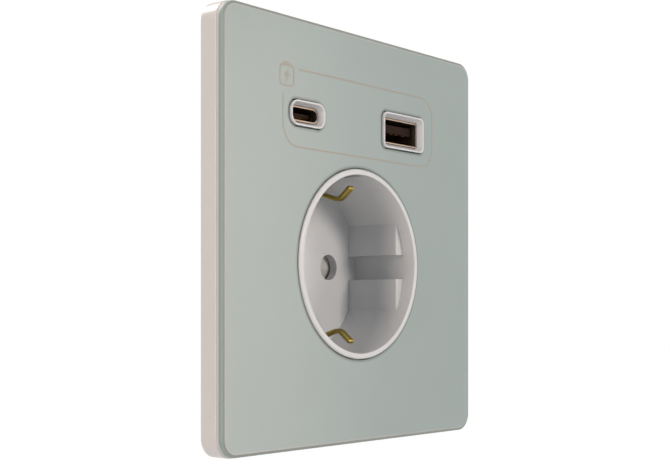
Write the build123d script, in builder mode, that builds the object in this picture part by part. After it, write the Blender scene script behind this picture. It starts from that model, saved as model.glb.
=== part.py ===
import os
from math import asin, degrees

from build123d import *

os.makedirs("parts", exist_ok=True)

# Frame: the wall is the plane Y = 0, the room is towards -Y, Z is up and the origin is the
# middle of the line of the two box screws. Heights are counted from the wall into the room.

# Cover panel: a moulded frame with a glass front
panel_width = 87.2
panel_tall = 90.4
panel_corner = 4.2
panel_stand = 5.7
skirt_wall = 2.0
frame_wall = 1.8
frame_edge = 0.3
glass_thick = 1.5
glass_inset = 0.2
glass_round = 0.5
hole_bevel = 0.12
glass_gap = 0.2
window_gap = 1.0
window_rim = 1.2
rim_height = 0.9
rib_thick = 1.0
rib_count = 4
rib_pitch = 17.0
rib_rise = 32.0
screw_room = 4.2
finger_edge = 5.0
finger_z = 20.0
finger_width = 5.6
finger_thick = 1.6
finger_reach = 2.5
finger_tip = 0.5
finger_gap = 0.2
pad_width = 4.6
pad_tall = 9.0
pry_width = 9.0
pry_height = 1.0

# Steel strap on the wall box
strap_thick = 1.2
strap_side = 3.6
strap_over = 5.2
strap_corner = 5.0
box_screw_pitch = 60.0
box_slot_width = 3.6
box_slot_length = 7.0
strap_gap = 0.4
port_window_gap = 0.8

# Round socket recess
cup_bore = 39.4
cup_wall = 1.25
cup_depth = 17.6
cup_drop = 5.6
ring_proud = 0.5
ring_round = 0.4
lip_round = 0.2
floor_thick = 2.0
pin_pitch = 19.0
pin_hole = 6.0
pin_hole_round = 0.3
guide_proud = 2.8
guide_slot = 5.6
guide_root = 0.6
guide_setback = 3.2
guide_round = 0.4
leg_count = 4
leg_turn = 45.0
lip_thick = 1.1
clip_slot_side = 0.6
clip_slot_over = 0.4
clip_slot_deep = 9.0
flange_thick = 2.2
flange_lap = 0.9
flange_corner = 3.0

# USB ports above the recess
port_rise = 25.2
usb_c_x = -18.2
usb_a_x = 15.65
collar_proud = 0.5
collar_rim = 0.35
mouth_depth = 1.3
shell_gap = 0.15
shell_wall = 0.3
shell_depth = 14.0
usb_c_collar_width = 10.9
usb_c_collar_tall = 5.3
usb_c_collar_corner = 2.2
usb_c_width = 8.94
usb_c_tall = 3.16
usb_c_tongue_width = 6.7
usb_c_tongue_thick = 0.7
usb_c_tongue_set = 1.6
usb_c_base = 6.0
usb_c_pad_width = 0.25
usb_c_pad_pitch = 0.5
usb_c_pad_count = 12
usb_c_pad_end = 0.4
usb_a_collar_width = 15.4
usb_a_collar_tall = 8.1
usb_a_collar_corner = 1.3
usb_a_width = 13.1
usb_a_tall = 5.72
usb_a_corner = 0.6
usb_a_tongue_width = 11.1
usb_a_tongue_thick = 1.84
usb_a_tongue_rise = 0.75
usb_a_tongue_set = 1.2
usb_a_base = 4.0
shell_leaf_width = 1.9
shell_leaf_long = 5.2
shell_leaf_pitch = 5.6
shell_leaf_set = 2.4
shell_slit = 0.35
usb_a_pad_width = 1.0
usb_a_pad_end = 0.6
usb_a_outer_pitch = 7.0
usb_a_inner_pitch = 2.0
contact_skin = 0.12

# Safety shutter and the plate that carries it
shutter_gap = 0.4
shutter_thick = 2.0
shutter_hub = 4.2
shutter_lap = 0.7
shutter_side = 0.8
shutter_ramp = 1.1
shutter_ramp_wide = 3.4
pivot_radius = 1.5
pivot_gap = 0.1
peg_radius = 0.7
peg_orbit = 6.4
shutter_open = 46.0
carrier_thick = 1.8
carrier_fit = 0.2
carrier_pocket = 8.2
spring_wire = 0.6
spring_radius = 3.6
spring_bow = 3.0
spring_bend = 1.0
spring_seat = 0.9

# Earth strip and live contacts
strip_width = 2.0
strip_thick = 1.0
strip_round = 0.48
arm_set = 2.1
apex_set = 5.2
apex_height = -0.3
tip_set = 2.4
tip_height = 3.1
tip_round = 0.4
bridge_width = 5.0
bridge_set = 3.6
knee_set = 1.4
apex_bend = 2.2
knee_bend = 4.0
corner_bend = 1.4
strip_gap = 0.4
strip_play = 0.8
leaf_thick = 0.8
leaf_gap = 2.45
leaf_rise = 3.6
leaf_drop = 4.2
leaf_long = 5.4
leaf_lead = 0.4
tab_width = 3.5

# Screw terminals
terminal_pitch = 12.0
terminal_set = 4.95
block_width = 6.6
block_tall = 6.5
block_deep = 4.8
wire_hole = 1.7
wire_funnel = 0.6
terminal_screw_head = 2.5
terminal_head_tall = 1.8
terminal_shank = 1.45
terminal_shank_long = 3.4
terminal_unscrewed = 1.5
thread_gap = 0.05
access_hole = 2.65
slot_width = 0.8
slot_depth = 0.7

# Rear housing
housing_wall = 1.6
body_side = 3.4
body_under = 1.9
body_over = 8.3
body_corner = 3.0
rear_inset = 1.7
rear_corner = 2.4
rear_side = 1.4
rear_gap = 0.2
tower_bore = 2.5
tower_wall = 0.6
tower_end = 0.8
tower_round = 0.7
pin_long = 19.0
divider_x = 5.2
divider_wall = 1.2
divider_rise = 7.6
boss_radius = 2.9
boss_inset = 3.0
boss_drop = 2.2
boss_long = 12.0
screw_shank = 1.3
screw_head = 2.6
screw_head_tall = 1.5
screw_long = 11.0
head_sink = 1.4
ledge_wide = 1.6
ledge_tall = 8.0
housing_edge = 0.8

# USB power board
board_thick = 1.6
board_gap = 0.5
board_side = 1.4
post_radius = 1.5
post_x = -1.4
post_spread = 9.4
core_width = 13.0
core_tall = 11.0
core_thick = 5.0
core_leg = 2.2
core_middle = 3.8
core_lift = 2.2
bobbin_floor = 1.0
winding_wall = 2.2
winding_gap = 0.1
capacitor_radius = 4.0
capacitor_tall = 11.5
capacitor_x = 12.2
can_round = 0.5
output_radius = 3.1
output_tall = 8.0
output_x = 12.2
chip_width = 4.0
chip_tall = 5.0
chip_thick = 1.5
rectifier_size = 4.6
rectifier_thick = 2.5
lead_radius = 0.55
lead_bend = 2.0

# Heights that follow from the sizes above
frame_front = panel_stand - glass_thick
frame_inner = frame_front - frame_wall
flange_front = strap_thick + flange_thick
ring_front = panel_stand + ring_proud
collar_front = panel_stand + collar_proud
floor_front = ring_front - cup_depth
floor_back = floor_front - floor_thick
shutter_front = floor_back - shutter_gap
shutter_back = shutter_front - shutter_thick
carrier_front = shutter_back - shutter_gap
carrier_back = carrier_front - carrier_thick
shoulder_back = carrier_back - housing_wall
strip_back = carrier_back - strip_thick
block_back = strip_back - block_deep
shell_front = collar_front - mouth_depth
shell_back = shell_front - shell_depth
board_back = shell_back - board_thick
core_front = board_back - core_lift
core_back = core_front - core_thick
winding_back = core_back - winding_wall
rear_inner = min(block_back, winding_back, board_back - capacitor_tall) - rear_gap
rear_back = rear_inner - housing_wall
tower_inner = floor_front - pin_long - rear_gap
tower_back = tower_inner - tower_end

# Places across the front that follow from the sizes above
cup_z = -cup_drop
cup_outer = cup_bore + 2 * cup_wall
guide_flat = cup_bore / 2 - guide_proud
arm_radius = cup_bore / 2 - arm_set
apex_radius = cup_bore / 2 - apex_set
tip_radius = cup_bore / 2 - tip_set
shutter_reach = pin_pitch / 2 + pin_hole / 2 + shutter_lap
shutter_width = pin_hole + 2 * shutter_side
strap_width = panel_width - 2 * (skirt_wall + strap_side)
strap_tall = panel_tall - 2 * (skirt_wall + strap_over)
finger_x = strap_width / 2 - finger_edge
port_z = port_rise
body_width = cup_outer + 2 * body_side
body_bottom = cup_z - cup_outer / 2 - body_under
body_top = port_z + body_over
body_tall = body_top - body_bottom
body_mid = (body_top + body_bottom) / 2
flange_width = body_width + 2 * flange_lap
flange_tall = body_tall + 2 * flange_lap
rear_width = 2 * (terminal_pitch + block_width / 2 + rear_side + housing_wall)
rear_tall = body_tall - 2 * rear_inset
boss_x = body_width / 2 - boss_inset
boss_z = cup_outer / 2 - boss_drop
screw_spots = [(side * boss_x, cup_z + way * boss_z) for side in (-1, 1) for way in (-1, 1)]
board_low = cup_z + boss_z + boss_radius + board_gap
board_high = body_top - housing_wall - board_gap
board_tall = board_high - board_low
board_mid = (board_high + board_low) / 2
board_width = body_width - 2 * housing_wall - 2 * board_gap
rectifier_x = board_width / 2 - ledge_wide - rectifier_size / 2
chip_x = board_width / 2 - ledge_wide - chip_width / 2
post_spots = [(post_x, board_mid + way * post_spread / 2) for way in (-1, 1)]
pin_spots = [(side * pin_pitch / 2, cup_z) for side in (-1, 1)]
block_z = cup_z - arm_radius + terminal_set
block_xs = {"line": -terminal_pitch, "earth": 0.0, "neutral": terminal_pitch}
rear_bottom = body_bottom + rear_inset
finger_inner = frame_inner + finger_reach
peg_turn = 90.0
stop_turn = degrees(2 * asin((peg_radius + thread_gap / 2) / peg_orbit))

# Each port's place, width, height and corner radius
collars = [
    (usb_c_x, usb_c_collar_width, usb_c_collar_tall, usb_c_collar_corner),
    (usb_a_x, usb_a_collar_width, usb_a_collar_tall, usb_a_collar_corner),
]
shells = [
    (usb_c_x, usb_c_width, usb_c_tall, usb_c_tall / 2),
    (usb_a_x, usb_a_width, usb_a_tall, usb_a_corner),
]


def at(height):
    return Plane.XZ.offset(height)


def port_outline(port, grow, round_grow, mode=Mode.ADD):
    port_x, width, tall, corner = port
    with Locations((port_x, port_z)):
        RectangleRounded(width + 2 * grow, tall + 2 * grow, corner + round_grow, mode=mode)


# Panel frame: skirted moulding with a window, ribs, four plug-in fingers and a pry notch
with BuildPart() as panel_frame:
    with BuildSketch(at(0)):
        RectangleRounded(panel_width, panel_tall, panel_corner)
    extrude(amount=frame_front)
    fillet(panel_frame.faces().sort_by(Axis.Y)[0].edges(), frame_edge)
    with BuildSketch(at(0)):
        RectangleRounded(
            panel_width - 2 * skirt_wall,
            panel_tall - 2 * skirt_wall,
            panel_corner - skirt_wall,
        )
    extrude(amount=frame_inner, mode=Mode.SUBTRACT)
    with BuildSketch(at(frame_inner - rim_height)):
        with Locations((0, body_mid)):
            RectangleRounded(
                flange_width + 2 * (window_gap + window_rim),
                flange_tall + 2 * (window_gap + window_rim),
                flange_corner + window_gap + window_rim,
            )
        with GridLocations(rib_pitch, 0, rib_count, 1):
            Rectangle(rib_thick, panel_tall - 2 * skirt_wall)
        with GridLocations(0, 2 * rib_rise, 1, 2):
            Rectangle(panel_width - 2 * skirt_wall, rib_thick)
    extrude(amount=rim_height)
    with BuildSketch(at(strap_thick)):
        with GridLocations(2 * finger_x, 2 * finger_z, 2, 2):
            Rectangle(pad_width, pad_tall)
    extrude(amount=frame_inner - strap_thick)
    with BuildSketch(at(-finger_reach)):
        with GridLocations(2 * finger_x, 2 * finger_z, 2, 2):
            Rectangle(finger_thick, finger_width)
    extrude(amount=finger_inner)
    chamfer(panel_frame.faces().sort_by(Axis.Y)[-4:].edges().filter_by(Axis.Z), finger_tip)
    with BuildSketch(at(0)):
        with Locations((0, body_mid)):
            RectangleRounded(
                flange_width + 2 * window_gap,
                flange_tall + 2 * window_gap,
                flange_corner + window_gap,
            )
        with GridLocations(box_screw_pitch, 0, 2, 1):
            Circle(screw_room)
    extrude(amount=frame_front, mode=Mode.SUBTRACT)
    with BuildSketch(at(0)):
        with Locations((0, -panel_tall / 2)):
            Rectangle(pry_width, 2 * skirt_wall)
    extrude(amount=pry_height, mode=Mode.SUBTRACT)
panel_frame.part.label = "panel_frame"
export_step(panel_frame.part, "parts/panel_frame.step")

# Glass front: plate with a rounded edge, a round hole and two port holes
with BuildPart() as glass_panel:
    with BuildSketch(at(frame_front)):
        RectangleRounded(
            panel_width - 2 * glass_inset,
            panel_tall - 2 * glass_inset,
            panel_corner - glass_inset,
        )
        with Locations((0, cup_z)):
            Circle(cup_outer / 2 + glass_gap, mode=Mode.SUBTRACT)
        for collar in collars:
            port_outline(collar, glass_gap, glass_gap, mode=Mode.SUBTRACT)
    extrude(amount=glass_thick)
    glass_face = glass_panel.faces().sort_by(Axis.Y)[0]
    hole_edges = [edge for wire in glass_face.inner_wires() for edge in wire.edges()]
    fillet(glass_face.outer_wire().edges(), glass_round)
    chamfer(hole_edges, hole_bevel)
glass_panel.part.label = "glass_panel"
export_step(glass_panel.part, "parts/glass_panel.step")

# Mounting strap: steel plate with box-screw slots and windows for the insert
with BuildPart() as mounting_strap:
    with BuildSketch(at(0)):
        RectangleRounded(strap_width, strap_tall, strap_corner)
        with Locations((0, cup_z)):
            Circle(cup_outer / 2 + strap_gap, mode=Mode.SUBTRACT)
        for shell in shells:
            port_outline(shell, port_window_gap, 0, mode=Mode.SUBTRACT)
        with GridLocations(box_screw_pitch, 0, 2, 1):
            SlotOverall(box_slot_length, box_slot_width, mode=Mode.SUBTRACT)
        with GridLocations(2 * finger_x, 2 * finger_z, 2, 2):
            Rectangle(
                finger_thick + 2 * finger_gap,
                finger_width + 2 * finger_gap,
                mode=Mode.SUBTRACT,
            )
        with Locations(screw_spots):
            Circle(screw_shank + strap_gap, mode=Mode.SUBTRACT)
        with Locations(post_spots):
            Circle(post_radius + strap_gap, mode=Mode.SUBTRACT)
    extrude(amount=strap_thick)
mounting_strap.part.label = "mounting_strap"
export_step(mounting_strap.part, "parts/mounting_strap.step")

# Front moulding: flange, round recess with guides and clip slots, port collars and board posts
with BuildPart() as front_moulding:
    with BuildSketch(at(strap_thick)):
        with Locations((0, body_mid)):
            RectangleRounded(flange_width, flange_tall, flange_corner)
    extrude(amount=flange_thick)
    with BuildSketch(at(floor_back)):
        with Locations((0, cup_z)):
            Circle(cup_outer / 2)
    extrude(amount=ring_front - floor_back)
    with BuildSketch(at(floor_front)):
        with Locations((0, cup_z)):
            Circle(cup_bore / 2)
    extrude(amount=cup_depth, mode=Mode.SUBTRACT)
    fillet(front_moulding.faces().sort_by(Axis.Y)[0].edges().sort_by(SortBy.RADIUS)[-1], ring_round)
    fillet(front_moulding.faces().sort_by(Axis.Y)[0].edges().sort_by(SortBy.RADIUS)[0], lip_round)
    with BuildSketch(at(floor_front)):
        with Locations((0, cup_z)):
            Circle(cup_bore / 2 + guide_root)
            Rectangle(2 * guide_flat, cup_outer, mode=Mode.SUBTRACT)
            Rectangle(cup_outer, guide_slot, mode=Mode.SUBTRACT)
    extrude(amount=cup_depth - guide_setback)
    guide_front = -(ring_front - guide_setback)
    fillet(
        front_moulding.edges().filter_by(Axis.Z).filter_by_position(
            Axis.Y, guide_front - guide_round, guide_front + guide_round
        ).filter_by(lambda edge: abs(edge.center().X) < guide_flat + guide_round),
        guide_round,
    )
    with BuildSketch(at(floor_back)):
        with Locations(pin_spots):
            Circle(pin_hole / 2)
        with Locations((0, cup_z + arm_radius), (0, cup_z - arm_radius)):
            Rectangle(strip_width + 2 * strip_gap, strip_thick + 2 * strip_gap)
    extrude(amount=floor_thick, mode=Mode.SUBTRACT)
    fillet(
        front_moulding.edges().filter_by(GeomType.CIRCLE).filter_by(
            lambda edge: abs(edge.radius - pin_hole / 2) < pin_hole_round
        ).group_by(Axis.Y)[0],
        pin_hole_round,
    )
    with BuildSketch(at(ring_front - lip_thick)):
        with Locations((0, cup_z)):
            Rectangle(strip_width + 2 * clip_slot_side, cup_outer + 2 * clip_slot_over)
    extrude(amount=-clip_slot_deep, mode=Mode.SUBTRACT)
    with BuildSketch(at(floor_back)):
        with Locations((0, cup_z)):
            with PolarLocations((arm_radius + shutter_reach) / 2 + peg_radius, leg_count, leg_turn):
                Circle(peg_radius)
    extrude(amount=-(floor_back - carrier_front))
    with BuildSketch(at(flange_front)):
        for collar in collars:
            port_outline(collar, 0, 0)
    extrude(amount=collar_front - flange_front)
    for collar, shell in zip(collars, shells):
        with BuildSketch(at(collar_front)):
            port_outline(collar, -collar_rim, -collar_rim)
        with BuildSketch(at(shell_front)):
            port_outline(shell, shell_gap, 0)
        loft(mode=Mode.SUBTRACT)
        with BuildSketch(at(strap_thick)):
            port_outline(shell, shell_gap, 0)
        extrude(amount=shell_front - strap_thick, mode=Mode.SUBTRACT)
    with BuildSketch(at(strap_thick)):
        with Locations(screw_spots):
            Circle(screw_shank + thread_gap)
    extrude(amount=flange_thick, mode=Mode.SUBTRACT)
    with BuildSketch(at(flange_front)):
        with Locations(screw_spots):
            Circle(screw_head + shell_gap)
    extrude(amount=-head_sink, mode=Mode.SUBTRACT)
    with BuildSketch(at(shell_back)):
        with Locations(post_spots):
            Circle(post_radius)
    extrude(amount=strap_thick - shell_back)
front_moulding.part.label = "front_moulding"
export_step(front_moulding.part, "parts/front_moulding.step")

# Rear housing: stepped tub with pin towers, screw bosses, dividers and wire holes
with BuildPart() as rear_housing:
    with BuildSketch(at(0)):
        with Locations((0, body_mid)):
            RectangleRounded(body_width, body_tall, body_corner)
    extrude(amount=shoulder_back)
    with BuildSketch(at(shoulder_back)):
        with Locations((0, body_mid)):
            RectangleRounded(rear_width, rear_tall, rear_corner)
    extrude(amount=rear_back - shoulder_back)
    fillet(rear_housing.faces().sort_by(Axis.Y)[-1].edges(), housing_edge)
    fillet(rear_housing.faces().sort_by(Axis.Y).filter_by(Axis.Y)[-2].outer_wire().edges(), housing_edge)
    with BuildSketch(at(rear_back)):
        with Locations(pin_spots):
            Circle(tower_bore + tower_wall)
    extrude(amount=tower_back - rear_back)
    fillet(rear_housing.faces().sort_by(Axis.Y)[-2:].edges(), tower_round)
    with BuildSketch(at(0)):
        with Locations((0, body_mid)):
            RectangleRounded(
                body_width - 2 * housing_wall,
                body_tall - 2 * housing_wall,
                body_corner - housing_wall,
            )
    extrude(amount=carrier_back, mode=Mode.SUBTRACT)
    with BuildSketch(at(carrier_back)):
        with Locations((0, body_mid)):
            RectangleRounded(
                rear_width - 2 * housing_wall,
                rear_tall - 2 * housing_wall,
                rear_corner - housing_wall,
            )
    extrude(amount=rear_inner - carrier_back, mode=Mode.SUBTRACT)
    with BuildSketch(at(rear_inner)):
        with Locations(pin_spots):
            Circle(tower_bore)
    extrude(amount=tower_inner - rear_inner, mode=Mode.SUBTRACT)
    divider_top = cup_z + divider_rise
    divider_low = rear_bottom + housing_wall
    with BuildSketch(at(rear_inner)):
        with Locations((0, (divider_top + divider_low) / 2)):
            with GridLocations(2 * divider_x, 0, 2, 1):
                Rectangle(divider_wall, divider_top - divider_low)
    extrude(amount=carrier_back - rear_gap - rear_inner)
    with BuildSketch(at(0)):
        with Locations(screw_spots):
            Circle(boss_radius)
    extrude(amount=-boss_long)
    with BuildSketch(at(0)):
        with Locations(screw_spots):
            Circle(screw_shank + thread_gap)
    extrude(amount=-boss_long, mode=Mode.SUBTRACT)
    with BuildSketch(at(board_back)):
        with Locations((0, board_mid)):
            with GridLocations(body_width - 2 * housing_wall - ledge_wide, 0, 2, 1):
                Rectangle(ledge_wide, ledge_tall)
    extrude(amount=carrier_back - board_back)
    with BuildSketch(at(rear_back)):
        with Locations([(x, block_z) for x in block_xs.values()]):
            Circle(wire_hole)
    extrude(amount=housing_wall, mode=Mode.SUBTRACT)
    chamfer(
        rear_housing.edges().filter_by(GeomType.CIRCLE).filter_by(
            lambda edge: abs(edge.radius - wire_hole) < thread_gap
        ).sort_by(Axis.Y)[-len(block_xs):],
        wire_funnel,
    )
    with BuildSketch(Plane.XY.offset(rear_bottom)):
        with Locations([(x, -(strip_back - block_deep / 2)) for x in block_xs.values()]):
            Circle(access_hole)
    extrude(amount=housing_wall, mode=Mode.SUBTRACT)
rear_housing.part.label = "rear_housing"
export_step(rear_housing.part, "parts/rear_housing.step")

# Housing screws: four slotted pan heads sunk in the flange
with BuildPart() as housing_screws:
    head_seat = flange_front - head_sink
    with BuildSketch(at(head_seat)):
        with Locations(screw_spots):
            Circle(screw_head)
    extrude(amount=screw_head_tall)
    with BuildSketch(at(head_seat)):
        with Locations(screw_spots):
            Circle(screw_shank)
    extrude(amount=-screw_long)
    with BuildSketch(at(head_seat + screw_head_tall)):
        with Locations(screw_spots):
            Rectangle(2 * screw_head, slot_width)
    extrude(amount=-slot_depth, mode=Mode.SUBTRACT)
housing_screws.part.label = "housing_screws"
export_step(housing_screws.part, "parts/housing_screws.step")

# Shutter carrier: insulating plate with the pivot, pin holes, spring pocket and two stop pegs
with BuildPart() as contact_carrier:
    carrier_low = body_bottom + housing_wall + carrier_fit
    carrier_high = board_low - board_gap
    with BuildSketch(at(carrier_back)):
        with Locations((0, (carrier_low + carrier_high) / 2)):
            RectangleRounded(
                body_width - 2 * housing_wall - 2 * carrier_fit,
                carrier_high - carrier_low,
                body_corner - housing_wall,
            )
        with Locations(pin_spots):
            Circle(pin_hole / 2 + carrier_fit, mode=Mode.SUBTRACT)
        with Locations((0, cup_z + arm_radius), (0, cup_z - arm_radius)):
            Rectangle(
                strip_width + 2 * strip_gap,
                strip_thick + 2 * strip_play,
                mode=Mode.SUBTRACT,
            )
    extrude(amount=carrier_thick)
    with BuildSketch(at(carrier_front)):
        with Locations((0, cup_z)):
            Circle(carrier_pocket)
    extrude(amount=-spring_seat, mode=Mode.SUBTRACT)
    with BuildSketch(at(carrier_front - spring_seat)):
        with Locations((0, cup_z)):
            Circle(pivot_radius)
        with Locations((0, cup_z - peg_orbit)):
            Circle(peg_radius)
        with Locations((0, cup_z)):
            for turn in (peg_turn - stop_turn, peg_turn + shutter_open + stop_turn):
                with PolarLocations(peg_orbit, 1, turn):
                    Circle(peg_radius)
    extrude(amount=spring_seat)
    with BuildSketch(at(carrier_front)):
        with Locations((0, cup_z)):
            Circle(pivot_radius)
    extrude(amount=floor_back - carrier_front)
contact_carrier.part.label = "contact_carrier"
export_step(contact_carrier.part, "parts/contact_carrier.step")

# Shutter: two ramped wings on a hub that cover both pin holes
with BuildPart() as shutter:
    with BuildSketch(at(shutter_back)):
        with Locations((0, cup_z)):
            SlotOverall(2 * shutter_reach, shutter_width)
            Circle(shutter_hub)
            Circle(pivot_radius + pivot_gap, mode=Mode.SUBTRACT)
    extrude(amount=shutter_thick)
    for side in (1, -1):
        ramp_low = cup_z - side * shutter_width / 2
        with BuildSketch(Plane.YZ.offset(side * shutter_hub)):
            with BuildLine():
                Polyline(
                    (-shutter_front, ramp_low),
                    (-shutter_front, ramp_low + side * shutter_ramp_wide),
                    (-shutter_front + shutter_ramp, ramp_low),
                    close=True,
                )
            make_face()
        extrude(amount=side * shutter_reach, mode=Mode.SUBTRACT)
    with BuildSketch(at(shutter_back)):
        with Locations((0, cup_z + peg_orbit - shutter_hub / 2)):
            Rectangle(2 * peg_radius, shutter_hub)
    extrude(amount=shutter_thick / 2)
    with BuildSketch(at(shutter_back)):
        with Locations((0, cup_z + peg_orbit)):
            Circle(peg_radius)
    extrude(amount=-(shutter_gap + spring_seat / 2))
shutter.part.label = "shutter"
export_step(shutter.part, "parts/shutter.step")

# Shutter spring: a bow of wire from the shutter's peg round the pivot to the carrier's peg
with BuildPart() as shutter_spring:
    spring_height = carrier_front - spring_seat + spring_wire / 2 + thread_gap
    leg_x = peg_radius + spring_wire / 2 + thread_gap
    leg_end = peg_orbit + peg_radius
    with BuildLine(at(spring_height)) as spring_path:
        FilletPolyline(
            (-leg_x, cup_z + leg_end),
            (-leg_x, cup_z + spring_radius),
            (spring_radius, cup_z + spring_radius),
            (spring_radius, cup_z - spring_radius),
            (-leg_x, cup_z - spring_radius),
            (-leg_x, cup_z - leg_end),
            radius=[spring_bend, spring_bow, spring_bow, spring_bend],
        )
    with BuildSketch(Plane(spring_path.line @ 0, z_dir=spring_path.line % 0)):
        Circle(spring_wire / 2)
    sweep(path=spring_path.line)
shutter_spring.part.label = "shutter_spring"
export_step(shutter_spring.part, "parts/shutter_spring.step")

# Earth bracket: one round-edged brass strip, bent into two spring clips with a wide bridge between
with BuildPart() as earth_bracket:
    strip_mid = carrier_back - strip_thick / 2
    half_path = [
        (-tip_height, tip_radius),
        (-apex_height, apex_radius),
        (-floor_front - knee_set, arm_radius),
        (-strip_mid, arm_radius),
    ]
    upper = [(y, cup_z + radius) for y, radius in half_path]
    lower = [(y, cup_z - radius) for y, radius in reversed(half_path)]
    bends = [apex_bend, knee_bend, corner_bend, corner_bend, knee_bend, apex_bend]
    with BuildLine(Plane.YZ) as bracket_path:
        FilletPolyline(*upper, *lower, radius=bends)
    path_start = bracket_path.line @ 0
    with BuildSketch(Plane(path_start, x_dir=(1, 0, 0), z_dir=bracket_path.line % 0)):
        RectangleRounded(strip_width, strip_thick, strip_round)
    sweep(path=bracket_path.line)
    fillet(earth_bracket.faces().sort_by(Axis.Y)[:2].edges(), tip_round)
    with BuildSketch(at(strip_back)):
        with Locations((0, cup_z)):
            Rectangle(bridge_width, 2 * (arm_radius - bridge_set))
    extrude(amount=strip_thick)
earth_bracket.part.label = "earth_bracket"
export_step(earth_bracket.part, "parts/earth_bracket.step")

# Live contacts: a channel with a lead-in that grips the pin and a tab down to the terminal
for name, side in (("line", -1), ("neutral", 1)):
    with BuildPart() as contact:
        pin_x = side * pin_pitch / 2
        channel_front = carrier_back - 2 * rear_gap
        with BuildSketch(at(channel_front - leaf_long)):
            with Locations((pin_x, cup_z + (leaf_rise - leaf_drop) / 2)):
                Rectangle(2 * (leaf_gap + leaf_thick), leaf_rise + leaf_drop)
            with Locations((pin_x, cup_z + (leaf_rise - leaf_drop + leaf_thick) / 2)):
                Rectangle(2 * leaf_gap, leaf_rise + leaf_drop - leaf_thick, mode=Mode.SUBTRACT)
        extrude(amount=leaf_long)
        chamfer(
            contact.faces().sort_by(Axis.Y)[0].edges().filter_by(Axis.Z).filter_by(
                lambda edge: abs(edge.center().X - pin_x) < leaf_gap + thread_gap
            ),
            leaf_lead,
        )
        tab_low = block_z - block_tall / 2
        tab_high = cup_z - leaf_drop + leaf_thick
        tab_x = pin_x + side * (leaf_gap + leaf_thick - tab_width / 2)
        with BuildSketch(at(strip_back)):
            with Locations((tab_x, (tab_low + tab_high) / 2)):
                Rectangle(tab_width, tab_high - tab_low)
        extrude(amount=strip_thick - rear_gap / 2)
    contact.part.label = f"{name}_contact"
    export_step(contact.part, f"parts/{name}_contact.step")

# Terminal blocks: brass cubes with a wire hole and a clamping screw hole
for name, block_x in block_xs.items():
    with BuildPart() as terminal:
        with BuildSketch(at(block_back)):
            with Locations((block_x, block_z)):
                Rectangle(block_width, block_tall)
                Circle(wire_hole, mode=Mode.SUBTRACT)
        extrude(amount=block_deep)
        with BuildSketch(Plane.XY.offset(block_z - block_tall / 2)):
            with Locations((block_x, -(strip_back - block_deep / 2))):
                Circle(terminal_shank + thread_gap)
        extrude(amount=block_tall / 2, mode=Mode.SUBTRACT)
    terminal.part.label = f"{name}_terminal"
    export_step(terminal.part, f"parts/{name}_terminal.step")

# Terminal screws: three slotted clamping screws, standing half open for the wires
with BuildPart() as terminal_screws:
    head_top = block_z - block_tall / 2 - terminal_unscrewed
    terminal_spots = [(x, -(strip_back - block_deep / 2)) for x in block_xs.values()]
    with BuildSketch(Plane.XY.offset(head_top)):
        with Locations(terminal_spots):
            Circle(terminal_screw_head)
    extrude(amount=-terminal_head_tall)
    with BuildSketch(Plane.XY.offset(head_top)):
        with Locations(terminal_spots):
            Circle(terminal_shank)
    extrude(amount=terminal_shank_long)
    with BuildSketch(Plane.XY.offset(head_top - terminal_head_tall)):
        with Locations(terminal_spots):
            Rectangle(2 * terminal_screw_head, slot_width)
    extrude(amount=slot_depth, mode=Mode.SUBTRACT)
terminal_screws.part.label = "terminal_screws"
export_step(terminal_screws.part, "parts/terminal_screws.step")

# USB board: circuit board that carries both receptacles
with BuildPart() as usb_board:
    with BuildSketch(at(board_back)):
        with Locations((0, board_mid)):
            Rectangle(board_width, board_tall)
    extrude(amount=board_thick)
usb_board.part.label = "usb_board"
export_step(usb_board.part, "parts/usb_board.step")

# USB-A receptacle: steel shell with four spring leaves, insulator with tongue, four contacts
with BuildPart() as usb_a_shell:
    with BuildSketch(at(shell_back)):
        with Locations((usb_a_x, port_z)):
            RectangleRounded(usb_a_width, usb_a_tall, usb_a_corner)
            RectangleRounded(
                usb_a_width - 2 * shell_wall,
                usb_a_tall - 2 * shell_wall,
                usb_a_corner - shell_wall,
                mode=Mode.SUBTRACT,
            )
    extrude(amount=shell_depth)
    leaf_mid = shell_leaf_set + (shell_leaf_long + shell_slit) / 2 - shell_front
    for wall_z in (port_z - usb_a_tall / 2, port_z + usb_a_tall / 2 - shell_wall):
        with BuildSketch(Plane.XY.offset(wall_z)):
            with Locations((usb_a_x, leaf_mid)):
                with GridLocations(shell_leaf_pitch, 0, 2, 1):
                    Rectangle(shell_leaf_width + 2 * shell_slit, shell_leaf_long + shell_slit)
            with Locations((usb_a_x, leaf_mid + shell_slit / 2)):
                with GridLocations(shell_leaf_pitch, 0, 2, 1):
                    Rectangle(shell_leaf_width, shell_leaf_long, mode=Mode.SUBTRACT)
        extrude(amount=shell_wall, mode=Mode.SUBTRACT)
usb_a_shell.part.label = "usb_a_shell"
export_step(usb_a_shell.part, "parts/usb_a_shell.step")

with BuildPart() as usb_a_tongue:
    with BuildSketch(at(shell_back)):
        with Locations((usb_a_x, port_z)):
            Rectangle(
                usb_a_width - 2 * shell_wall - 2 * shell_gap,
                usb_a_tall - 2 * shell_wall - 2 * shell_gap,
            )
    extrude(amount=usb_a_base)
    with BuildSketch(at(shell_back)):
        with Locations((usb_a_x, port_z + usb_a_tongue_rise)):
            Rectangle(usb_a_tongue_width, usb_a_tongue_thick)
    extrude(amount=shell_depth - usb_a_tongue_set)
usb_a_tongue.part.label = "usb_a_tongue"
export_step(usb_a_tongue.part, "parts/usb_a_tongue.step")

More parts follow.
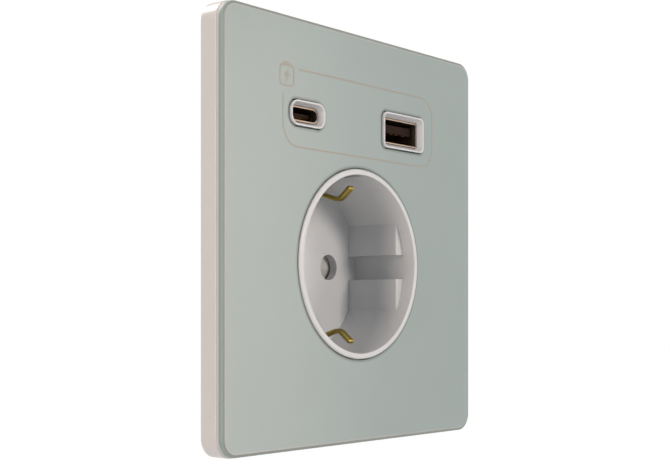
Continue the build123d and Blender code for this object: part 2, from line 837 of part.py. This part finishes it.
with BuildPart() as usb_a_contacts:
    pad_z = port_z + usb_a_tongue_rise - usb_a_tongue_thick / 2 - contact_skin / 2
    with BuildSketch(at(shell_back + usb_a_base)):
        with Locations((usb_a_x, pad_z)):
            with GridLocations(usb_a_outer_pitch, 0, 2, 1):
                Rectangle(usb_a_pad_width, contact_skin)
            with GridLocations(usb_a_inner_pitch, 0, 2, 1):
                Rectangle(usb_a_pad_width, contact_skin)
    extrude(amount=shell_depth - usb_a_tongue_set - usb_a_base - usb_a_pad_end)
usb_a_contacts.part.label = "usb_a_contacts"
export_step(usb_a_contacts.part, "parts/usb_a_contacts.step")

# USB-C receptacle: steel shell, insulator with tongue, two rows of contacts
with BuildPart() as usb_c_shell:
    with BuildSketch(at(shell_back)):
        with Locations((usb_c_x, port_z)):
            SlotOverall(usb_c_width, usb_c_tall)
            SlotOverall(
                usb_c_width - 2 * shell_wall,
                usb_c_tall - 2 * shell_wall,
                mode=Mode.SUBTRACT,
            )
    extrude(amount=shell_depth)
usb_c_shell.part.label = "usb_c_shell"
export_step(usb_c_shell.part, "parts/usb_c_shell.step")

with BuildPart() as usb_c_tongue:
    with BuildSketch(at(shell_back)):
        with Locations((usb_c_x, port_z)):
            SlotOverall(
                usb_c_width - 2 * shell_wall - 2 * shell_gap,
                usb_c_tall - 2 * shell_wall - 2 * shell_gap,
            )
    extrude(amount=usb_c_base)
    with BuildSketch(at(shell_back)):
        with Locations((usb_c_x, port_z)):
            Rectangle(usb_c_tongue_width, usb_c_tongue_thick)
    extrude(amount=shell_depth - usb_c_tongue_set)
usb_c_tongue.part.label = "usb_c_tongue"
export_step(usb_c_tongue.part, "parts/usb_c_tongue.step")

with BuildPart() as usb_c_contacts:
    pad_offset = usb_c_tongue_thick + contact_skin
    with BuildSketch(at(shell_back + usb_c_base)):
        with Locations((usb_c_x, port_z)):
            with GridLocations(usb_c_pad_pitch, pad_offset, usb_c_pad_count, 2):
                Rectangle(usb_c_pad_width, contact_skin)
    extrude(amount=shell_depth - usb_c_tongue_set - usb_c_base - usb_c_pad_end)
usb_c_contacts.part.label = "usb_c_contacts"
export_step(usb_c_contacts.part, "parts/usb_c_contacts.step")

# Transformer: ferrite core, bobbin foot and taped winding
core_window = (core_width - 2 * core_leg - core_middle) / 2
with BuildPart() as transformer_core:
    with BuildSketch(at(core_back)):
        with Locations((0, board_mid)):
            Rectangle(core_width, core_tall)
            with GridLocations(core_middle + core_window, 0, 2, 1):
                Rectangle(core_window, core_tall - 2 * core_leg, mode=Mode.SUBTRACT)
    extrude(amount=core_thick)
transformer_core.part.label = "transformer_core"
export_step(transformer_core.part, "parts/transformer_core.step")

with BuildPart() as transformer_winding:
    winding_tall = core_tall - 2 * core_leg - 2 * winding_gap
    winding_wide = core_middle + 2 * core_window - 2 * winding_gap
    winding_front = board_back - bobbin_floor
    with BuildSketch(Plane.XY.offset(board_mid - winding_tall / 2)):
        with Locations((0, -(winding_front + winding_back) / 2)):
            RectangleRounded(winding_wide, winding_front - winding_back, core_window / 2)
        with Locations((0, -(core_front + core_back) / 2)):
            Rectangle(
                core_middle + 2 * winding_gap,
                core_thick + 2 * winding_gap,
                mode=Mode.SUBTRACT,
            )
    extrude(amount=winding_tall)
transformer_winding.part.label = "transformer_winding"
export_step(transformer_winding.part, "parts/transformer_winding.step")

with BuildPart() as transformer_bobbin:
    with BuildSketch(at(winding_front)):
        with Locations((0, board_mid)):
            Rectangle(core_width, core_tall)
    extrude(amount=bobbin_floor)
transformer_bobbin.part.label = "transformer_bobbin"
export_step(transformer_bobbin.part, "parts/transformer_bobbin.step")

# Other board components on its rear face
with BuildPart() as mains_capacitor:
    with BuildSketch(at(board_back)):
        with Locations((-capacitor_x, board_mid)):
            Circle(capacitor_radius)
    extrude(amount=-capacitor_tall)
    fillet(mains_capacitor.faces().sort_by(Axis.Y)[-1].edges(), can_round)
mains_capacitor.part.label = "mains_capacitor"
export_step(mains_capacitor.part, "parts/mains_capacitor.step")

with BuildPart() as output_capacitor:
    with BuildSketch(at(board_back)):
        with Locations((output_x, board_mid)):
            Circle(output_radius)
    extrude(amount=-output_tall)
    fillet(output_capacitor.faces().sort_by(Axis.Y)[-1].edges(), can_round)
output_capacitor.part.label = "output_capacitor"
export_step(output_capacitor.part, "parts/output_capacitor.step")

with BuildPart() as controller_chip:
    with BuildSketch(at(board_back)):
        with Locations((chip_x, board_low + chip_tall / 2 + board_side)):
            Rectangle(chip_width, chip_tall)
    extrude(amount=-chip_thick)
controller_chip.part.label = "controller_chip"
export_step(controller_chip.part, "parts/controller_chip.step")

with BuildPart() as bridge_rectifier:
    with BuildSketch(at(board_back)):
        with Locations((-rectifier_x, board_low + rectifier_size / 2)):
            Rectangle(rectifier_size, rectifier_size)
    extrude(amount=-rectifier_thick)
bridge_rectifier.part.label = "bridge_rectifier"
export_step(bridge_rectifier.part, "parts/bridge_rectifier.step")

# Supply leads: insulated wires from the live contacts to the board
lead_x = pin_pitch / 2 + leaf_gap + leaf_thick + lead_radius
lead_height = carrier_back - strip_thick - lead_radius
lead_end_z = board_low + lead_radius + board_gap
with BuildPart() as supply_leads:
    for side in (-1, 1):
        with BuildLine():
            lead_path = FilletPolyline(
                (side * lead_x, -lead_height, cup_z - leaf_drop),
                (side * lead_x, -lead_height, lead_end_z),
                (side * lead_x, -board_back, lead_end_z),
                radius=lead_bend,
            )
        with BuildSketch(Plane.XY.offset(cup_z - leaf_drop)):
            with Locations((side * lead_x, -lead_height)):
                Circle(lead_radius)
        sweep(path=lead_path.edges())
supply_leads.part.label = "supply_leads"
export_step(supply_leads.part, "parts/supply_leads.step")
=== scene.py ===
import math

import bmesh
import bpy
from mathutils import Matrix, Vector


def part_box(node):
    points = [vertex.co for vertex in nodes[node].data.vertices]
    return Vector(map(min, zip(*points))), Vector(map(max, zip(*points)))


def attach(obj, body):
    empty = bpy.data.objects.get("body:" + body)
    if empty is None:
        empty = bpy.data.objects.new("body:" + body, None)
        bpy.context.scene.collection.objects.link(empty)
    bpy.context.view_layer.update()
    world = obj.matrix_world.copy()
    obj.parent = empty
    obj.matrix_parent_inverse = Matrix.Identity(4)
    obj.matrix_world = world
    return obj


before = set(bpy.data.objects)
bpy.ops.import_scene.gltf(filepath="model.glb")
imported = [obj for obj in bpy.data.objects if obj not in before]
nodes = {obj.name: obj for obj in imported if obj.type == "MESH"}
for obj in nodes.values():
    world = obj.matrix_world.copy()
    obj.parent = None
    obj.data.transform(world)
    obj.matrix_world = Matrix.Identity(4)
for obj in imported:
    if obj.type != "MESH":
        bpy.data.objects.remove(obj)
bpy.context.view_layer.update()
mm = 0.001
mixLow, mixHigh, mixOut = 6, 7, 2  # the colour sockets of a Mix node
pureWhite = (1, 1, 1, 1)
print("frame loaded:", len(nodes), "CAD pieces")


# sRGB hex text to linear red, green, blue and alpha
def linearColour(hexText):
    parts = [int(hexText[i:i + 2], 16) / 255 for i in (0, 2, 4)]
    return tuple(c / 12.92 if c <= 0.04045 else ((c + 0.055) / 1.055) ** 2.4 for c in parts) + (1.0,)


def addNode(tree, kind, values=None, links=None, **settings):
    node = tree.nodes.new(kind)
    for key, value in settings.items():
        setattr(node, key, value)
    for key, value in (values or {}).items():
        node.inputs[key].default_value = value
    for key, socket in (links or {}).items():
        tree.links.new(socket, node.inputs[key])
    return node


def startMaterial(name):
    material = bpy.data.materials.new(name)
    material.use_nodes = True
    tree = material.node_tree
    tree.nodes.clear()
    shader = addNode(tree, "ShaderNodeBsdfPrincipled")
    addNode(tree, "ShaderNodeOutputMaterial", links={"Surface": shader.outputs["BSDF"]})
    place = addNode(tree, "ShaderNodeTexCoord").outputs["Object"]
    return material, tree, shader, place


# two tones laid out by one pattern, and a roughness that follows another
def layTones(tree, shader, look, tonePattern, sheenPattern):
    tones = {mixLow: linearColour(look["low"]), mixHigh: linearColour(look["high"])}
    tone = addNode(tree, "ShaderNodeMix", tones, {0: tonePattern.outputs["Fac"]}, data_type="RGBA")
    tree.links.new(tone.outputs[mixOut], shader.inputs["Base Color"])
    sheen = addNode(
        tree, "ShaderNodeMapRange", {"To Min": look["rough"][0], "To Max": look["rough"][1]},
        {"Value": sheenPattern.outputs["Fac"]},
    )
    tree.links.new(sheen.outputs["Result"], shader.inputs["Roughness"])


def dressNodes(names, material):
    for name in names:
        slots = nodes[name].data.materials
        slots.clear()
        slots.append(material)


# moulded plastics: faint flow clouds and the grain of a spark-eroded tool, lengths in mm,
# with the grain drawn coarser than it is so that it shows
plastics = {
    # clean white, with soft wide highlights on ring and rims
    "satinWhitePolycarbonate": {
        "nodes": ["front_moulding"],
        "low": "C8C8C8", "high": "CDCDCD", "rough": (0.22, 0.30),
        "grain": 0.22, "depth": 0.004, "cloud": 7.0, "specular": 0.38,
    },
    # creamier than the ring, with a soft shine
    "warmWhiteAbs": {
        "nodes": ["panel_frame"],
        "low": "C9C5C1", "high": "CECAC6", "rough": (0.22, 0.30),
        "grain": 0.22, "depth": 0.004, "cloud": 7.0, "specular": 0.5,
    },
    # matt grey, with a grain that catches grazing light
    "greyPbtHousing": {
        "nodes": ["rear_housing"],
        "low": "A7A9AA", "high": "B4B6B6", "rough": (0.46, 0.58),
        "grain": 0.35, "depth": 0.012, "cloud": 9.0, "specular": 0.5,
    },
    # waxy off-white with hardly a highlight
    "ivoryPolyamide": {
        "nodes": ["contact_carrier", "shutter"],
        "low": "B0AEAA", "high": "BCBAB5", "rough": (0.42, 0.52),
        "grain": 0.25, "depth": 0.006, "cloud": 5.0, "specular": 0.5,
    },
    # brown-black and dull, so that the ports look deep
    "blackLiquidCrystalPolymer": {
        "nodes": [
            "usb_a_tongue", "usb_c_tongue", "transformer_bobbin", "controller_chip", "bridge_rectifier",
        ],
        "low": "1E110A", "high": "28180F", "rough": (0.50, 0.62),
        "grain": 0.18, "depth": 0.004, "cloud": 3.0, "specular": 0.06,
    },
}
mouldedSkin = {"cloudDetail": 3.0, "grainDetail": 2.0, "bump": 0.35, "ior": 1.53}


def mouldedPlastic(name, look, skin):
    material, tree, shader, place = startMaterial(name)
    clouds = addNode(
        tree, "ShaderNodeTexNoise", {"Scale": 1 / (look["cloud"] * mm), "Detail": skin["cloudDetail"]},
        {"Vector": place},
    )
    grain = addNode(
        tree, "ShaderNodeTexNoise", {"Scale": 1 / (look["grain"] * mm), "Detail": skin["grainDetail"]},
        {"Vector": place},
    )
    layTones(tree, shader, look, clouds, grain)
    bump = addNode(
        tree, "ShaderNodeBump", {"Strength": skin["bump"], "Distance": look["depth"] * mm},
        {"Height": grain.outputs["Fac"]},
    )
    tree.links.new(bump.outputs["Normal"], shader.inputs["Normal"])
    shader.inputs["IOR"].default_value = skin["ior"]
    shader.inputs["Specular IOR Level"].default_value = look["specular"]
    return material


for plasticName, look in plastics.items():
    dressNodes(look["nodes"], mouldedPlastic(plasticName, look, mouldedSkin))
print("plastics done")

# cover glass: float glass painted on the back, which gives an even pale green under a quiet gloss
glassLook = {
    "node": "glass_panel", "corner": 4.0, "ior": 1.52, "roughFace": 0.24, "roughEdge": 0.5,
    "paintLow": "909C99", "paintHigh": "94A09D", "cloud": 14.0, "cloudDetail": 2.0,
    # bands of another colour, with the distances in mm where they begin and where they are full:
    # painted hole shade from a hole outwards, margin and the ground edge with its painted shade from the
    # outline, side and arris from the front
    "paintedHoleShade": {"colour": "727D7B", "begins": 0.8, "full": 0.1},
    "margin": {"colour": "A1A8A5", "begins": -1.03, "full": -0.73},
    # the ground edge is matt, and its colour is painted shade
    "groundEdgeAndShade": {"colour": "84857F", "begins": -0.74, "full": -0.58},
    "side": {"colour": "889892", "begins": 0.03, "full": 0.17},
    "arris": {"colour": "C6C0C0", "begins": 0.93, "full": 1.17},
    "holes": [
        {"centre": (0.0, -5.6), "half": (21.15, 21.15), "corner": 21.15},
        {"centre": (-18.2, 25.2), "half": (5.65, 2.85), "corner": 2.4},
        {"centre": (15.65, 25.2), "half": (7.9, 4.25), "corner": 1.5},
    ],
}


# distance in metres from a rounded outline, below nought inside it
def outlineDistance(tree, axes, centre, half, corner):
    over = []
    for axis, middle, reach in (("X", centre[0], half[0]), ("Z", centre[1], half[1])):
        moved = addNode(tree, "ShaderNodeMath", {1: middle}, {0: axes.outputs[axis]}, operation="SUBTRACT")
        size = addNode(tree, "ShaderNodeMath", operation="ABSOLUTE", links={0: moved.outputs[0]})
        past = addNode(
            tree, "ShaderNodeMath", {1: reach - corner}, {0: size.outputs[0]}, operation="SUBTRACT",
        )
        over.append(past.outputs[0])
    outside = [
        addNode(tree, "ShaderNodeMath", {1: 0.0}, {0: length}, operation="MAXIMUM").outputs[0]
        for length in over
    ]
    arc = addNode(tree, "ShaderNodeCombineXYZ", links={"X": outside[0], "Y": outside[1]})
    arcLength = addNode(tree, "ShaderNodeVectorMath", operation="LENGTH", links={0: arc.outputs[0]})
    inner = addNode(tree, "ShaderNodeMath", operation="MAXIMUM", links={0: over[0], 1: over[1]})
    inside = addNode(tree, "ShaderNodeMath", {1: 0.0}, {0: inner.outputs[0]}, operation="MINIMUM")
    both = addNode(
        tree, "ShaderNodeMath", operation="ADD", links={0: arcLength.outputs["Value"], 1: inside.outputs[0]},
    )
    distance = addNode(tree, "ShaderNodeMath", {1: corner}, {0: both.outputs[0]}, operation="SUBTRACT")
    return distance.outputs[0]


# the colour so far with a soft-edged band over it, and the band's share for other uses
def tintBand(tree, colour, distance, band):
    share = addNode(
        tree, "ShaderNodeMapRange", {"From Min": band["begins"] * mm, "From Max": band["full"] * mm},
        {"Value": distance}, interpolation_type="SMOOTHSTEP",
    ).outputs["Result"]
    tinted = addNode(
        tree, "ShaderNodeMix", {mixHigh: linearColour(band["colour"])}, {0: share, mixLow: colour},
        data_type="RGBA",
    )
    return tinted.outputs[mixOut], share


def backPaintedGlass(look):
    material, tree, shader, place = startMaterial("backPaintedGlass")
    low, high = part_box(look["node"])
    axes = addNode(tree, "ShaderNodeSeparateXYZ", links={"Vector": place})
    clouds = addNode(
        tree, "ShaderNodeTexNoise", {"Scale": 1 / (look["cloud"] * mm), "Detail": look["cloudDetail"]},
        {"Vector": place},
    )
    tones = {mixLow: linearColour(look["paintLow"]), mixHigh: linearColour(look["paintHigh"])}
    paint = addNode(tree, "ShaderNodeMix", tones, {0: clouds.outputs["Fac"]}, data_type="RGBA")
    colour = paint.outputs[mixOut]
    # painted shade: a darker band round each hole, standing in for the cut edge and the shadow seen through
    # the glass
    for hole in look["holes"]:
        centre, reach = ([v * mm for v in hole[key]] for key in ("centre", "half"))
        toHole = outlineDistance(tree, axes, centre, reach, hole["corner"] * mm)
        colour = tintBand(tree, colour, toHole, look["paintedHoleShade"])[0]
    # a pale margin lies inside the ground rounding of the outer edge, and the rounding is painted darker, a
    # painted shade for the dark look of a glass edge seen from inside
    half = ((high.x - low.x) / 2, (high.z - low.z) / 2)
    toEdge = outlineDistance(tree, axes, (0, 0), half, look["corner"] * mm)
    colour = tintBand(tree, colour, toEdge, look["margin"])[0]
    colour, groundShare = tintBand(tree, colour, toEdge, look["groundEdgeAndShade"])
    # the cut side looks through more glass, so it is greener, down to a pale ground arris at the back
    fromFront = addNode(tree, "ShaderNodeMath", {1: low.y}, {0: axes.outputs["Y"]}, operation="SUBTRACT")
    for part in ("side", "arris"):
        colour = tintBand(tree, colour, fromFront.outputs[0], look[part])[0]
    tree.links.new(colour, shader.inputs["Base Color"])
    # the ground rounding is matt next to the polished face
    sheen = addNode(
        tree, "ShaderNodeMapRange", {"To Min": look["roughFace"], "To Max": look["roughEdge"]},
        {"Value": groundShare},
    )
    tree.links.new(sheen.outputs["Result"], shader.inputs["Roughness"])
    shader.inputs["IOR"].default_value = look["ior"]
    return material


dressNodes([glassLook["node"]], backPaintedGlass(glassLook))
print("cover glass done")

# metals: rolled or drawn stock with fine lines along the rolling direction and a patchy sheen, lengths in mm
metals = {
    # pale grey, clouded as a zinc bath leaves it
    "zincPlatedSteel": {
        "nodes": ["mounting_strap", "housing_screws", "terminal_screws"],
        "low": "A9ADB0", "high": "C3C6C8", "rough": (0.30, 0.46), "line": (6.0, 0.25, 0.25), "patch": 4.0,
    },
    # deep yellow, with highlights drawn out along the strip
    "rolledBrass": {
        "nodes": [
            "earth_bracket", "line_contact", "neutral_contact", "line_terminal", "earth_terminal",
            "neutral_terminal",
        ],
        "low": "8A783C", "high": "A89348", "rough": (0.28, 0.40), "line": (0.2, 4.0, 4.0), "patch": 3.0,
    },
    # warm grey, a thin bright rim round a dark mouth
    "nickelPlatedShell": {
        "nodes": ["usb_a_shell", "usb_c_shell"],
        "low": "87796C", "high": "97897C", "rough": (0.36, 0.48), "line": (2.0, 0.15, 0.15), "patch": 1.5,
    },
    # small warm glints on the tongues
    "goldFlashedContact": {
        "nodes": ["usb_a_contacts", "usb_c_contacts"],
        "low": "7A5A2A", "high": "8F6C36", "rough": (0.30, 0.42), "line": (0.1, 2.0, 0.1), "patch": 1.0,
    },
    # dark grey with a narrow gleam along the wire
    "drawnSpringSteel": {
        "nodes": ["shutter_spring"],
        "low": "85878A", "high": "9EA0A2", "rough": (0.24, 0.36), "line": (1.0, 0.2, 1.0), "patch": 1.2,
    },
}
rolledSkin = {"lineDetail": 3.0, "patchDetail": 2.0, "bump": 0.25, "depth": 0.002}


def rolledMetal(name, look, skin):
    material, tree, shader, place = startMaterial(name)
    stretch = addNode(
        tree, "ShaderNodeMapping", {"Scale": tuple(1 / (s * mm) for s in look["line"])}, {"Vector": place},
    )
    lines = addNode(
        tree, "ShaderNodeTexNoise", {"Scale": 1.0, "Detail": skin["lineDetail"]},
        {"Vector": stretch.outputs["Vector"]},
    )
    patches = addNode(
        tree, "ShaderNodeTexNoise", {"Scale": 1 / (look["patch"] * mm), "Detail": skin["patchDetail"]},
        {"Vector": place},
    )
    layTones(tree, shader, look, patches, lines)
    bump = addNode(
        tree, "ShaderNodeBump", {"Strength": skin["bump"], "Distance": skin["depth"] * mm},
        {"Height": lines.outputs["Fac"]},
    )
    tree.links.new(bump.outputs["Normal"], shader.inputs["Normal"])
    shader.inputs["Metallic"].default_value = 1.0
    return material


for metalName, look in metals.items():
    dressNodes(look["nodes"], rolledMetal(metalName, look, rolledSkin))
print("metals done")

# parts of the charger: dyed finishes, each broken by a mottle of its own size in mm
chargerParts = {
    # deep glossy green
    "greenSolderMask": {
        "nodes": ["usb_board"], "low": "12402A", "high": "1B5A3A", "mottle": 1.2, "rough": (0.25, 0.4),
    },
    # near black, dry and gritty
    "groundFerrite": {
        "nodes": ["transformer_core"], "low": "26262A", "high": "38383C", "mottle": 0.3, "rough": (0.5, 0.7),
    },
    # clear yellow with a slick face
    "polyesterTape": {
        "nodes": ["transformer_winding"], "low": "B88A1C", "high": "D2A52E", "mottle": 0.8,
        "rough": (0.2, 0.35),
    },
    # dark blue, tight and shiny
    "shrinkSleeve": {
        "nodes": ["mains_capacitor", "output_capacitor"], "low": "14182E", "high": "20264A", "mottle": 2.0,
        "rough": (0.22, 0.32),
    },
    # brick red with a soft shine
    "pvcWireInsulation": {
        "nodes": ["supply_leads"], "low": "6E1A14", "high": "8A241C", "mottle": 0.6, "rough": (0.35, 0.5),
    },
}
mottleDetail = 4.0


def dyedFinish(name, look):
    material, tree, shader, place = startMaterial(name)
    mottle = addNode(
        tree, "ShaderNodeTexNoise", {"Scale": 1 / (look["mottle"] * mm), "Detail": mottleDetail},
        {"Vector": place},
    )
    layTones(tree, shader, look, mottle, mottle)
    return material


for finishName, look in chargerParts.items():
    dressNodes(look["nodes"], dyedFinish(finishName, look))
print("charger parts done")

# screen print on the glass, lengths in mm: a thin frame round the ports with its top left corner left open,
# and a charging mark there
printLook = {
    "centre": (0.85, 26.15), "size": (53.5, 16.5), "corner": 4.8, "cornerSteps": 8, "line": 0.32,
    "openLeft": -20.7, "openTop": 28.7,
    "markCentre": (-24.5, 32.5), "markSize": (4.7, 4.6), "markCorner": 1.2, "markLine": 0.42,
    "capSize": (2.0, 0.45), "capRise": 0.315,
    # corners of the bolt, in shares of the mark's width and height
    "bolt": [(0.10, 0.36), (-0.20, -0.04), (-0.02, -0.04), (-0.12, -0.36), (0.22, 0.08), (0.03, 0.08)],
    "film": 0.02, "sunkShare": 0.2,
    "low": "8F8A7D", "high": "979085", "grit": 0.4, "gritDetail": 2.0, "rough": 0.3,
}


# a flat shape drawn in X and Y, given the film's thickness and stood on the glass
def filmObject(name, shape, front, look):
    film = look["film"] * mm
    spread = bmesh.ops.extrude_face_region(shape, geom=list(shape.faces))
    lifted = [v for v in spread["geom"] if isinstance(v, bmesh.types.BMVert)]
    bmesh.ops.translate(shape, verts=lifted, vec=(0, 0, film))
    upright = Matrix.Rotation(math.radians(90), 4, "X")
    onGlass = Matrix.Translation((0, front + look["sunkShare"] * film, 0))
    bmesh.ops.transform(shape, matrix=onGlass @ upright, verts=shape.verts)
    bmesh.ops.recalc_face_normals(shape, faces=shape.faces)
    mesh = bpy.data.meshes.new(name)
    shape.to_mesh(mesh)
    shape.free()
    piece = bpy.data.objects.new(name, mesh)
    bpy.context.scene.collection.objects.link(piece)
    return piece


# a unit square, stretched and moved
def addRectangle(shape, centre, size):
    verts = bmesh.ops.create_grid(shape, x_segments=1, y_segments=1, size=0.5)["verts"]
    bmesh.ops.scale(shape, vec=(size[0] * mm, size[1] * mm, 1), verts=verts)
    bmesh.ops.translate(shape, vec=(centre[0] * mm, centre[1] * mm, 0), verts=verts)
    return verts


# a rounded rectangle drawn as one line, on a shape that is still empty
def addOutline(shape, centre, size, corner, steps, line):
    verts = addRectangle(shape, centre, size)
    bmesh.ops.bevel(
        shape, geom=verts, offset=corner * mm, affect="VERTICES", segments=steps, profile=0.5, material=-1,
    )
    face = max(shape.faces, key=lambda f: f.calc_area())
    bmesh.ops.inset_region(
        shape, faces=[face], thickness=line * mm, use_boundary=True, use_even_offset=True,
    )
    bmesh.ops.delete(shape, geom=[face], context="FACES")


def printedFrame(look, front):
    shape = bmesh.new()
    addOutline(shape, look["centre"], look["size"], look["corner"], look["cornerSteps"], look["line"])
    left, top = look["openLeft"] * mm, look["openTop"] * mm
    for point, normal in (((left, 0, 0), (1, 0, 0)), ((0, top, 0), (0, 1, 0))):
        every = list(shape.verts) + list(shape.edges) + list(shape.faces)
        bmesh.ops.bisect_plane(shape, geom=every, plane_co=point, plane_no=normal)
    middles = {f: f.calc_center_median() for f in shape.faces}
    opened = [f for f, middle in middles.items() if middle.x < left and middle.y > top]
    bmesh.ops.delete(shape, geom=opened, context="FACES")
    return filmObject("printedFrame", shape, front, look)


def printedMark(look, front):
    shape = bmesh.new()
    (x, y), (wide, tall) = look["markCentre"], look["markSize"]
    addOutline(
        shape, look["markCentre"], look["markSize"], look["markCorner"], look["cornerSteps"],
        look["markLine"],
    )
    addRectangle(shape, (x, y + tall / 2 + look["capRise"]), look["capSize"])
    bolt = [shape.verts.new(((x + u * wide) * mm, (y + v * tall) * mm, 0)) for u, v in look["bolt"]]
    shape.faces.new(bolt)
    return filmObject("printedMark", shape, front, look)


# bronze-coloured ink: a brown that stays quiet on the green, with a fine grit
def bronzeInk(look):
    material, tree, shader, place = startMaterial("bronzeScreenInk")
    grit = addNode(
        tree, "ShaderNodeTexNoise", {"Scale": 1 / (look["grit"] * mm), "Detail": look["gritDetail"]},
        {"Vector": place},
    )
    tones = {mixLow: linearColour(look["low"]), mixHigh: linearColour(look["high"])}
    tone = addNode(tree, "ShaderNodeMix", tones, {0: grit.outputs["Fac"]}, data_type="RGBA")
    tree.links.new(tone.outputs[mixOut], shader.inputs["Base Color"])
    shader.inputs["Roughness"].default_value = look["rough"]
    return material


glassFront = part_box(glassLook["node"])[0].y
ink = bronzeInk(printLook)
for piece in (printedFrame(printLook, glassFront), printedMark(printLook, glassFront)):
    piece.data.materials.append(ink)
    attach(piece, "cover")
print("print on the glass done")

# studio, in metres and watts: a pale floor far below the hung object, a frontal key, a card that is only
# mirrored in the glass, a side lamp that only lights, a strip along the left side, and a lamp above
# and behind
studio = {
    "floorDrop": 0.35, "floorSize": 6.0, "floor": "EDEDED", "floorRough": 0.8,
    "ambient": "CFE6FF", "ambientStrength": 0.24,
    "lamps": {
        "key": {"at": (0.12, -0.94, 0.29), "size": (0.30, 0.30), "power": 5.40, "colour": "FFF6ED"},
        "card": {
            "at": (0.50, -0.58, 0.0), "size": (0.20, 0.50), "power": 1.08, "colour": "FFE9DC",
            "lights": False,
        },
        "side": {
            "at": (0.46, -0.50, 0.10), "size": (0.16, 0.30), "power": 0.68, "colour": "FFF8F0",
            "mirrored": False,
        },
        "strip": {"at": (-0.44, -0.05, 0.06), "size": (0.12, 0.50), "power": 1.30, "colour": "FFF0E4"},
        "back": {"at": (-0.10, 0.66, 0.78), "size": (0.50, 0.50), "power": 6.5, "colour": "FFF5EA"},
    },
}


# a surface that lights the object as it is, and is white where it is seen straight, mirrored or
# through glass
def whiteWhereSeen(tree, lit, white):
    rays = addNode(tree, "ShaderNodeLightPath")
    direct = addNode(
        tree, "ShaderNodeMath", operation="MAXIMUM",
        links={0: rays.outputs["Is Camera Ray"], 1: rays.outputs["Is Glossy Ray"]},
    )
    seen = addNode(
        tree, "ShaderNodeMath", operation="MAXIMUM",
        links={0: direct.outputs[0], 1: rays.outputs["Is Transmission Ray"]},
    )
    mixed = addNode(
        tree, "ShaderNodeMixShader", links={0: seen.outputs[0], 1: lit.outputs[0], 2: white.outputs[0]},
    )
    return mixed.outputs[0]


world = bpy.data.worlds.new("studio")
bpy.context.scene.world = world
world.use_nodes = True
skyTree = world.node_tree
skyTree.nodes.clear()
fill = addNode(
    skyTree, "ShaderNodeBackground",
    {"Color": linearColour(studio["ambient"]), "Strength": studio["ambientStrength"]},
)
whiteSky = addNode(skyTree, "ShaderNodeBackground", {"Color": pureWhite, "Strength": 1.0})
addNode(skyTree, "ShaderNodeOutputWorld", links={"Surface": whiteWhereSeen(skyTree, fill, whiteSky)})

floorShape = bmesh.new()
bmesh.ops.create_grid(floorShape, x_segments=1, y_segments=1, size=studio["floorSize"])
bmesh.ops.translate(floorShape, vec=(0, 0, -studio["floorDrop"]), verts=floorShape.verts)
floorMesh = bpy.data.meshes.new("floor")
floorShape.to_mesh(floorMesh)
floorShape.free()
floor = bpy.data.objects.new("floor", floorMesh)
bpy.context.scene.collection.objects.link(floor)
# matt floor paint, which gives soft light from below
paleFloor, floorTree, floorShader = startMaterial("paleFloorPaint")[:3]
floorShader.inputs["Base Color"].default_value = linearColour(studio["floor"])
floorShader.inputs["Roughness"].default_value = studio["floorRough"]
whiteFloor = addNode(floorTree, "ShaderNodeEmission", {"Color": pureWhite, "Strength": 1.0})
floorSurface = floorTree.nodes["Material Output"].inputs["Surface"]
floorTree.links.new(whiteWhereSeen(floorTree, floorShader, whiteFloor), floorSurface)
floorMesh.materials.append(paleFloor)

for lampName, look in studio["lamps"].items():
    lamp = bpy.data.lights.new(lampName, "AREA")
    lamp.shape = "RECTANGLE"
    lamp.size, lamp.size_y = look["size"]
    lamp.energy = look["power"]
    lamp.color = linearColour(look["colour"])[:3]
    lampObject = bpy.data.objects.new(lampName, lamp)
    lampObject.location = look["at"]
    lampObject.rotation_euler = (-Vector(look["at"])).to_track_quat("-Z", "Y").to_euler()
    lampObject.visible_glossy = look.get("mirrored", True)
    lampObject.visible_diffuse = look.get("lights", True)
    bpy.context.scene.collection.objects.link(lampObject)
print("studio done")

# level camera turned to the plate, with the lens shifted up so that the plate stands square
cameraLook = {
    "at": (-215.6, -175.2, -17.1), "turn": 50.64, "lens": 66.7, "sensor": 36.0, "shift": 0.1288,
    "near": 0.01, "far": 100.0,
}
cameraData = bpy.data.cameras.new("camera")
cameraData.sensor_width = cameraLook["sensor"]
cameraData.lens = cameraLook["lens"]
cameraData.shift_y = cameraLook["shift"]
cameraData.clip_start = cameraLook["near"]
cameraData.clip_end = cameraLook["far"]
camera = bpy.data.objects.new("camera", cameraData)
camera.location = [v * mm for v in cameraLook["at"]]
camera.rotation_euler = (math.radians(90), 0, -math.radians(cameraLook["turn"]))
bpy.context.scene.collection.objects.link(camera)
bpy.context.scene.camera = camera
bpy.context.scene.view_settings.view_transform = "Standard"
